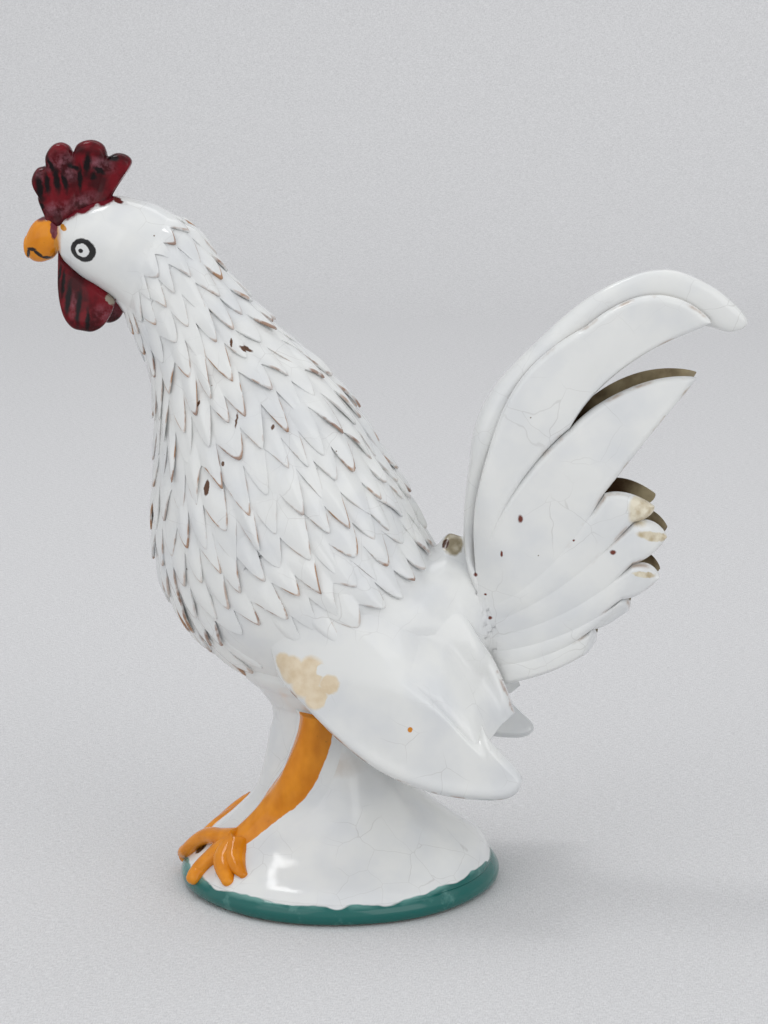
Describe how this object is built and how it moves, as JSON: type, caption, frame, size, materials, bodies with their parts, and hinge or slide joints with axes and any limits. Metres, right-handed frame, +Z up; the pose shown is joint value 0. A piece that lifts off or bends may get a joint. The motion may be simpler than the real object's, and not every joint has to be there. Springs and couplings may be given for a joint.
{
  "type": "rooster figurine",
  "caption": "Free-standing glazed earthenware rooster with a hollow base, raised comb, applied feathers and arched hollow tail.",
  "frame": {"origin": "centre of the round foot ring, on the plane that the figurine stands on", "axes": "+Z up, the rooster faces -X with its tail towards +X, and its left side is -Y"},
  "size_m": [0.3052, 0.14, 0.3216],
  "materials": {
    "white_glaze": "glossy white tin glaze over buff earthenware, crazed",
    "feather_glaze": "glossy white tin glaze, thin and brown along the feather edges",
    "orange_glaze": "glossy orange-yellow glaze",
    "red_glaze": "glossy dark red glaze with black strokes",
    "green_glaze": "glossy blue-green glaze"
  },
  "bodies": {
    "root": {"foot_ring": "green_glaze", "mound": "white_glaze", "head": "white_glaze", "beak": "orange_glaze", "comb": "red_glaze", "top_sickle_feather": "white_glaze", "left_body_half": "white_glaze", "left_wattle": "red_glaze", "left_wing": "white_glaze", "left_saddle_lobe": "white_glaze", "left_leg": "orange_glaze", "right_body_half": "white_glaze", "right_wattle": "red_glaze", "right_wing": "white_glaze", "right_saddle_lobe": "white_glaze", "right_leg": "orange_glaze", "left_inner_toe": "orange_glaze", "left_middle_toe": "orange_glaze", "left_outer_toe": "orange_glaze", "left_rear_toe": "orange_glaze", "right_inner_toe": "orange_glaze", "right_middle_toe": "orange_glaze", "right_outer_toe": "orange_glaze", "right_rear_toe": "orange_glaze", "left_sickle_feather": "white_glaze", "left_upper_tail_feather": "white_glaze", "left_second_tail_feather": "white_glaze", "left_third_tail_feather": "white_glaze", "left_fourth_tail_feather": "white_glaze", "left_fifth_tail_feather": "white_glaze", "left_lowest_tail_feather": "white_glaze", "right_sickle_feather": "white_glaze", "right_upper_tail_feather": "white_glaze", "right_second_tail_feather": "white_glaze", "right_third_tail_feather": "white_glaze", "right_fourth_tail_feather": "white_glaze", "right_fifth_tail_feather": "white_glaze", "right_lowest_tail_feather": "white_glaze", "feather_row_01": "feather_glaze", "feather_row_02": "feather_glaze", "feather_row_03": "feather_glaze", "feather_row_04": "feather_glaze", "feather_row_05": "feather_glaze", "feather_row_06": "feather_glaze", "feather_row_07": "feather_glaze", "feather_row_08": "feather_glaze", "feather_row_09": "feather_glaze", "feather_row_10": "feather_glaze", "feather_row_11": "feather_glaze", "feather_row_12": "feather_glaze", "feather_row_13": "feather_glaze"}
  },
  "joints": []
}
